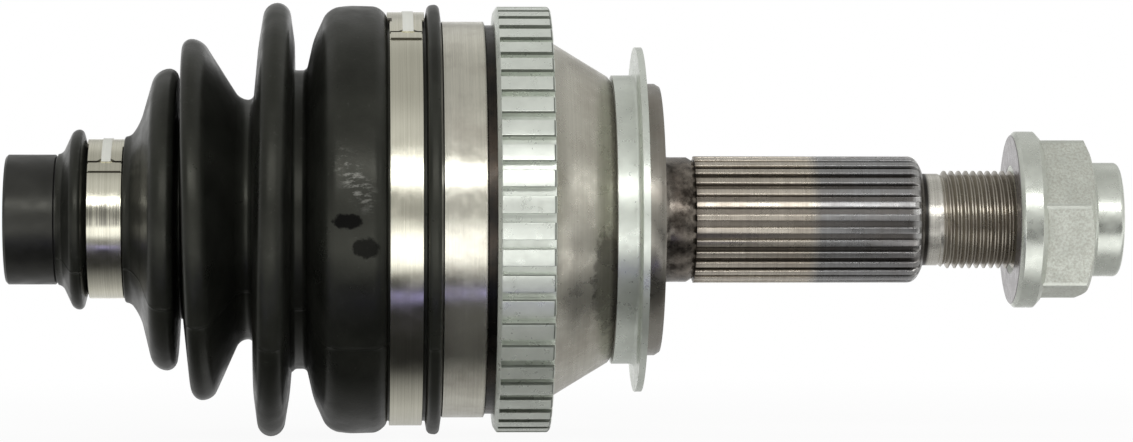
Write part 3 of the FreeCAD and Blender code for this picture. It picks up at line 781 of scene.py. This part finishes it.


# glowing cards, seen only by polished metal, that paint its reflections: the lit table bright before the
# object, painted shade where the object would shade it, and a painted violet glint between. Each card is (low
# x, high x, {place along y in metres: tone})
reflectionCards = {
    "underClamp": (-0.30, -0.090, {
        -0.60: 0.8, -0.35: 1.35, -0.115: 1.35, -0.085: 0.30, -0.066: 0.20, -0.060: (0.50, 0.47, 0.90),
        -0.054: 0.03, -0.024: 0.03, -0.010: 0.22, 0.020: 0.62, 0.09: 0.70}),
    "underBell": (-0.090, 0.030, {
        -0.60: 1.0, -0.35: 1.75, -0.122: 1.8, -0.094: 0.10, -0.076: 0.06, -0.070: (0.46, 0.43, 0.86),
        -0.064: 0.03, -0.030: 0.02, -0.021: 0.32, -0.0126: 0.50, 0.09: 0.70}),
    "underStub": (0.030, 0.068, {
        -0.60: 0.8, -0.35: 1.2, -0.075: 1.0, -0.050: 0.10, -0.025: 0.06, -0.012: 0.40, 0.09: 0.70}),
    "underNut": (0.068, 0.30, {
        -1.60: 0.06, -0.35: 0.05, -0.088: 0.06, -0.064: 1.45, -0.034: 1.45, -0.018: 0.30, 0.025: 0.42,
        0.09: 0.70}),
}


def addCard(name, z):
    lowX, highX, tones = reflectionCards[name]
    lowY, highY = min(tones), max(tones)
    mat, tree, out = bareMaterial(name + "Tone")
    # the tones glow, and the card is seen only in reflections
    tone = rampAlong(tree, axisValue(tree, "Y"), lowY, highY, list(tones.items()))
    glow = addNode(tree, "ShaderNodeEmission", Color=tone, Strength=1.0)
    tree.links.new(glow.outputs[0], out.inputs["Surface"])
    bm = bmesh.new()
    bmesh.ops.create_grid(bm, x_segments=1, y_segments=1, size=0.5)
    bmesh.ops.scale(bm, verts=bm.verts[:], vec=(highX - lowX, highY - lowY, 1))
    bmesh.ops.translate(bm, verts=bm.verts[:], vec=((lowX + highX) / 2, (lowY + highY) / 2, z))
    card = finishPiece(bm, name, mat)
    card.visible_camera = False
    card.visible_diffuse = False
    card.visible_shadow = False
    card.visible_transmission = False


def roomWorld():
    world = bpy.data.worlds.new("studioWorld")
    bpy.context.scene.world = world
    world.use_nodes = True
    tree = world.node_tree
    tree.nodes.clear()
    out = tree.nodes.new("ShaderNodeOutputWorld")
    room = addNode(tree, "ShaderNodeBackground", Color=studio["room"], Strength=1.0)
    white = addNode(tree, "ShaderNodeBackground", Color=studio["white"], Strength=1.0)
    coords = tree.nodes.new("ShaderNodeTexCoord")
    way = addNode(tree, "ShaderNodeSeparateXYZ", Vector=coords.outputs["Generated"])
    low = rangeOf(tree, way.outputs["Z"], 0.10, 0.45, 1.0, 0.0)
    behind = rangeOf(tree, way.outputs["Y"], -0.1, 0.5)
    ceiling = timesOf(tree, plateauOf(tree, way.outputs["Z"], (0.42, 0.62), (0.80, 0.98)), studio["ceiling"])
    backdrop = mathOf(tree, "MAXIMUM", timesOf(tree, low, behind), ceiling)
    mixInto(tree, out, isSeen(tree, backdrop), room, white)


def buildStage():
    z = cadBox[0][2] - studio["floorDrop"] * mm
    bm = bmesh.new()
    bmesh.ops.create_grid(bm, x_segments=1, y_segments=1, size=studio["floorSize"])
    bmesh.ops.translate(bm, verts=bm.verts[:], vec=(0, 0, z))
    floor = finishPiece(bm, "floor", paleFloor())
    for name in reflectionCards:
        addCard(name, z + studio["cardLift"] * mm)
    roomWorld()


# places and sizes in metres
lamps = {
    "keySoftbox": {"place": (-0.05, -1.03, 0.49), "target": (-0.02, 0, 0), "size": (1.5, 0.20), "watts": 4.6,
                   "mirrored": True},
    "sideSoftbox": {"place": (1.15, -0.62, 0.40), "target": (0, 0, 0), "size": (0.6, 0.45), "watts": 0.7,
                    "mirrored": True},
    "topSoftbox": {"place": (0.05, 0.10, 1.15), "target": (0, 0, 0), "size": (1.4, 1.0), "watts": 3.0,
                   "mirrored": False},
}
photoView = {"sensor": 36.0, "lens": 150.6, "place": (-0.062, -0.967, -0.0003), "aim": (-0.01875, 0, -0.0003)}


def aimAt(obj, place, target):
    obj.location = place
    obj.rotation_euler = (Vector(target) - Vector(place)).to_track_quat("-Z", "Y").to_euler()


def addLamp(name):
    lamp = lamps[name]
    data = bpy.data.lights.new(name, "AREA")
    data.shape = "RECTANGLE"
    data.size, data.size_y = lamp["size"]
    data.energy = lamp["watts"]
    obj = bpy.data.objects.new(name, data)
    bpy.context.scene.collection.objects.link(obj)
    aimAt(obj, lamp["place"], lamp["target"])
    obj.visible_glossy = lamp["mirrored"]


def addCamera():
    data = bpy.data.cameras.new("photoCamera")
    data.sensor_width = photoView["sensor"]
    data.lens = photoView["lens"]
    data.clip_start = 0.01
    data.clip_end = 50
    camera = bpy.data.objects.new("photoCamera", data)
    bpy.context.scene.collection.objects.link(camera)
    aimAt(camera, photoView["place"], photoView["aim"])
    bpy.context.scene.camera = camera


buildStage()
for name in lamps:
    addLamp(name)
addCamera()
bpy.context.scene.view_settings.view_transform = "Standard"
print("studio done")
